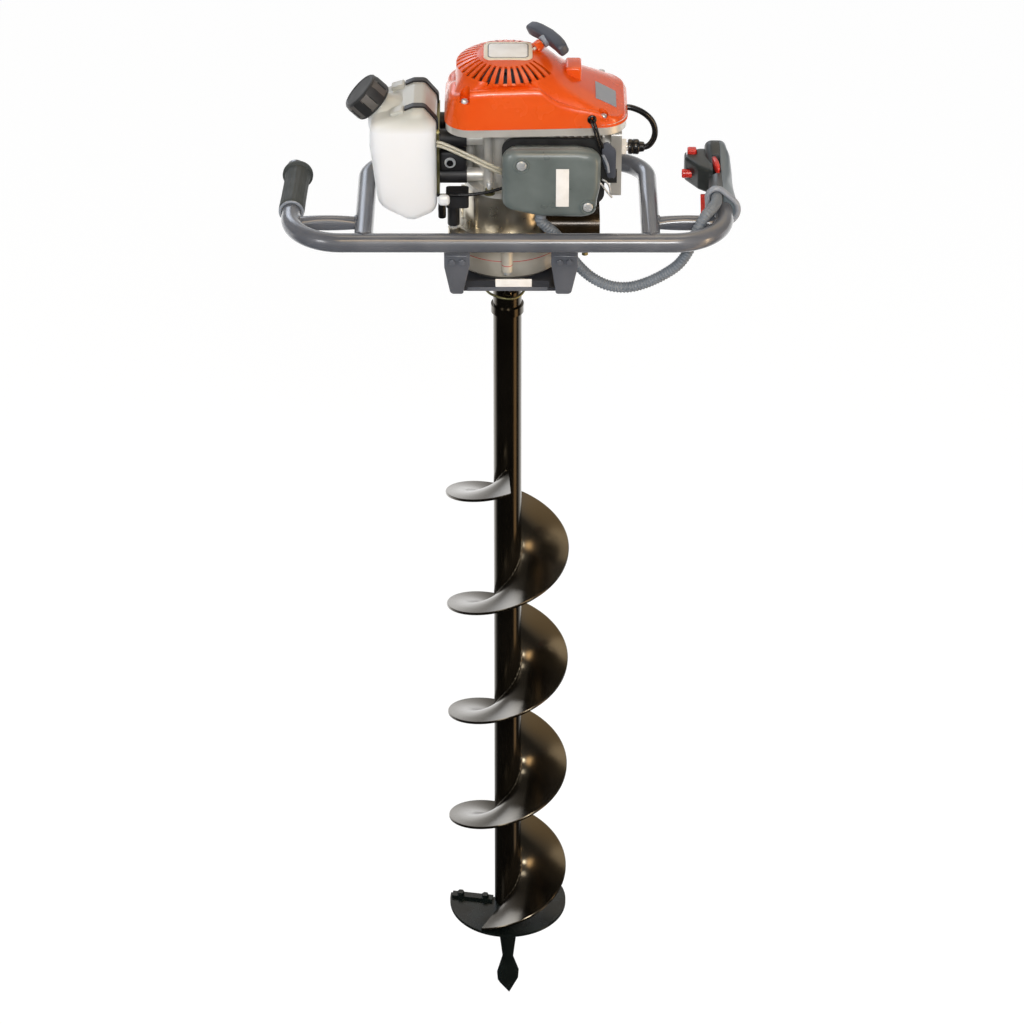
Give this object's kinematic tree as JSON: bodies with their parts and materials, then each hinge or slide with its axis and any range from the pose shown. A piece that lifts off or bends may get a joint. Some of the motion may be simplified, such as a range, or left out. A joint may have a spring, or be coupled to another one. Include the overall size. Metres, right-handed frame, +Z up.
{
  "type": "petrol earth auger",
  "caption": "Hand held petrol earth auger: engine with pull starter, clutch and planetary gearbox in a tube frame with two grips, driving a screw bit with a fishtail point.",
  "frame": {"origin": "Where the spin axis of the bit crosses the plane of the handle tubes, between the two hands.", "axes": "+Z up along the spin axis, +X towards the right hand grip with the throttle, +Y towards the rear bar."},
  "size_m": [0.532, 0.224, 1.3879],
  "materials": {
    "frame_paint": "blue grey enamel",
    "grip_rubber": "soft black rubber",
    "handle_plastic": "dark grey moulded plastic",
    "red_plastic": "red moulded plastic",
    "conduit_plastic": "grey ribbed conduit",
    "cast_metal": "sand cast aluminium",
    "gasket_red": "red gasket",
    "zinc_steel": "zinc plated steel",
    "gear_steel": "machined gear steel",
    "orange_plastic": "orange moulded plastic",
    "dark_plastic": "dark grey plastic",
    "rope_fibre": "braided rope",
    "muffler_steel": "heat proof paint",
    "plug_ceramic": "white ceramic",
    "lead_rubber": "black rubber",
    "filter_plastic": "grey green plastic",
    "foam": "foam filter",
    "tank_plastic": "milky white plastic",
    "cap_plastic": "black ribbed plastic",
    "olive_zinc": "yellow zinc",
    "hose": "clear fuel hose",
    "bit_paint": "gloss black enamel",
    "blade_paint": "dark grey enamel"
  },
  "bodies": {
    "frame": {"handlebar": "frame_paint", "rear_loop": "frame_paint", "grip_braces": "frame_paint", "hangers": "frame_paint", "base_tray": "frame_paint", "left_grip": "grip_rubber", "throttle_housing": "handle_plastic", "throttle_cover": "handle_plastic", "throttle_conduit": "conduit_plastic", "gearbox_lower": "cast_metal", "gearbox_gasket": "gasket_red", "gearbox_upper": "cast_metal", "gearbox_bolts": "zinc_steel", "gearbox_bearings": "gear_steel", "ring_gears": "gear_steel", "clutch_housing": "cast_metal", "crankcase": "cast_metal", "fan_housing": "cast_metal", "starter_cover": "orange_plastic", "cover_screws": "zinc_steel", "cylinder": "cast_metal", "muffler": "muffler_steel", "spark_plug": "plug_ceramic", "ignition_lead": "lead_rubber", "carburettor": "cast_metal", "filter_base": "dark_plastic", "air_filter": "foam", "filter_cover": "filter_plastic", "filter_screws": "zinc_steel", "fuel_tank": "tank_plastic", "tank_bracket": "olive_zinc", "tank_buffers": "grip_rubber", "tank_strap": "lead_rubber", "fuel_hoses": "hose"},
    "bit": {"output_carrier": "gear_steel", "auger_tube": "bit_paint", "auger_flight": "bit_paint", "blade_plate": "blade_paint", "pilot_point": "blade_paint", "hitch_pin": "zinc_steel"},
    "first_carrier": {"first_carrier": "gear_steel"},
    "drum": {"clutch_drum": "gear_steel"},
    "planet_1a": {"planet_1a": "gear_steel"},
    "planet_1b": {"planet_1b": "gear_steel"},
    "planet_1c": {"planet_1c": "gear_steel"},
    "planet_2a": {"planet_2a": "gear_steel"},
    "planet_2b": {"planet_2b": "gear_steel"},
    "planet_2c": {"planet_2c": "gear_steel"},
    "crank": {"crankshaft": "zinc_steel", "flywheel": "cast_metal", "clutch_shoes": "gear_steel"},
    "pulley": {"starter_pulley": "dark_plastic"},
    "pull": {"starter_handle": "dark_plastic", "starter_rope": "rope_fibre"},
    "trigger": {"throttle_trigger": "red_plastic"},
    "lock": {"trigger_lock": "red_plastic"},
    "switch": {"stop_switch": "red_plastic"},
    "button": {"half_throttle_button": "red_plastic"},
    "choke": {"choke_lever": "filter_plastic"},
    "cap": {"fuel_cap": "cap_plastic"}
  },
  "joints": [
    {"name": "auger_spin", "type": "hinge", "parent": "frame", "child": "bit", "pos_m": [0, 0, 0], "axis": [0, 0, 1], "continuous": true},
    {"name": "first_carrier_spin", "type": "hinge", "parent": "frame", "child": "first_carrier", "pos_m": [0, 0, 0], "axis": [0, 0, 1], "continuous": true},
    {"name": "drum_spin", "type": "hinge", "parent": "frame", "child": "drum", "pos_m": [0, 0, 0], "axis": [0, 0, 1], "continuous": true},
    {"name": "crank_spin", "type": "hinge", "parent": "frame", "child": "crank", "pos_m": [0, 0, 0], "axis": [0, 0, 1], "continuous": true},
    {"name": "planet_2a_spin", "type": "hinge", "parent": "bit", "child": "planet_2a", "pos_m": [0.03375, 0, 0], "axis": [0, 0, 1], "continuous": true},
    {"name": "planet_2b_spin", "type": "hinge", "parent": "bit", "child": "planet_2b", "pos_m": [-0.01688, 0.02923, 0], "axis": [0, 0, 1], "continuous": true},
    {"name": "planet_2c_spin", "type": "hinge", "parent": "bit", "child": "planet_2c", "pos_m": [-0.01688, -0.02923, 0], "axis": [0, 0, 1], "continuous": true},
    {"name": "planet_1a_spin", "type": "hinge", "parent": "first_carrier", "child": "planet_1a", "pos_m": [0.03, 0, 0], "axis": [0, 0, 1], "continuous": true},
    {"name": "planet_1b_spin", "type": "hinge", "parent": "first_carrier", "child": "planet_1b", "pos_m": [-0.015, 0.02598, 0], "axis": [0, 0, 1], "continuous": true},
    {"name": "planet_1c_spin", "type": "hinge", "parent": "first_carrier", "child": "planet_1c", "pos_m": [-0.015, -0.02598, 0], "axis": [0, 0, 1], "continuous": true},
    {"name": "starter_pull", "type": "slide", "parent": "frame", "child": "pull", "axis": [0.7686, 0.4803, 0.4226], "range_m": [0, 0.7], "stiffness_N_per_m": 20, "springref_m": -0.4},
    {"name": "starter_pulley_spin", "type": "hinge", "parent": "frame", "child": "pulley", "pos_m": [0, 0, 0], "axis": [0, 0, 1], "range_deg": [-1, 1500]},
    {"name": "trigger_squeeze", "type": "hinge", "parent": "frame", "child": "trigger", "pos_m": [0.248, 0.058, -0.005], "axis": [-1, 0, 0], "range_deg": [0, 12], "stiffness_Nm_per_rad": 0.2, "springref_deg": -17.19},
    {"name": "trigger_lock_press", "type": "hinge", "parent": "frame", "child": "lock", "pos_m": [0.248, 0.034, 0.012], "axis": [-1, 0, 0], "range_deg": [0, 8], "stiffness_Nm_per_rad": 0.1, "springref_deg": -17.19},
    {"name": "stop_switch_rock", "type": "hinge", "parent": "frame", "child": "switch", "pos_m": [0.215, 0.086, 0.016], "axis": [0, 0, 1], "range_deg": [0, 12]},
    {"name": "half_throttle_press", "type": "slide", "parent": "frame", "child": "button", "axis": [1, 0, 0], "range_m": [0, 0.003], "stiffness_N_per_m": 200, "springref_m": -0.004},
    {"name": "choke_turn", "type": "hinge", "parent": "frame", "child": "choke", "pos_m": [0.118, -0.066, 0.0645], "axis": [0, 1, 0], "range_deg": [0, 50]},
    {"name": "fuel_cap_turn", "type": "hinge", "parent": "frame", "child": "cap", "pos_m": [-0.14, -0.004, 0.117], "axis": [-0.7193, 0, 0.6947], "range_deg": [0, 360]}
  ],
  "couplings": [
    {"joint": "first_carrier_spin", "follows": "auger_spin", "ratio": 5},
    {"joint": "drum_spin", "follows": "auger_spin", "ratio": 40},
    {"joint": "planet_2a_spin", "follows": "auger_spin", "ratio": -2.6667},
    {"joint": "planet_2b_spin", "follows": "auger_spin", "ratio": -2.6667},
    {"joint": "planet_2c_spin", "follows": "auger_spin", "ratio": -2.6667},
    {"joint": "planet_1a_spin", "follows": "auger_spin", "ratio": -11.667},
    {"joint": "planet_1b_spin", "follows": "auger_spin", "ratio": -11.667},
    {"joint": "planet_1c_spin", "follows": "auger_spin", "ratio": -11.667},
    {"joint": "starter_pulley_spin", "follows": "starter_pull", "rad_per_m": 37.037}
  ]
}
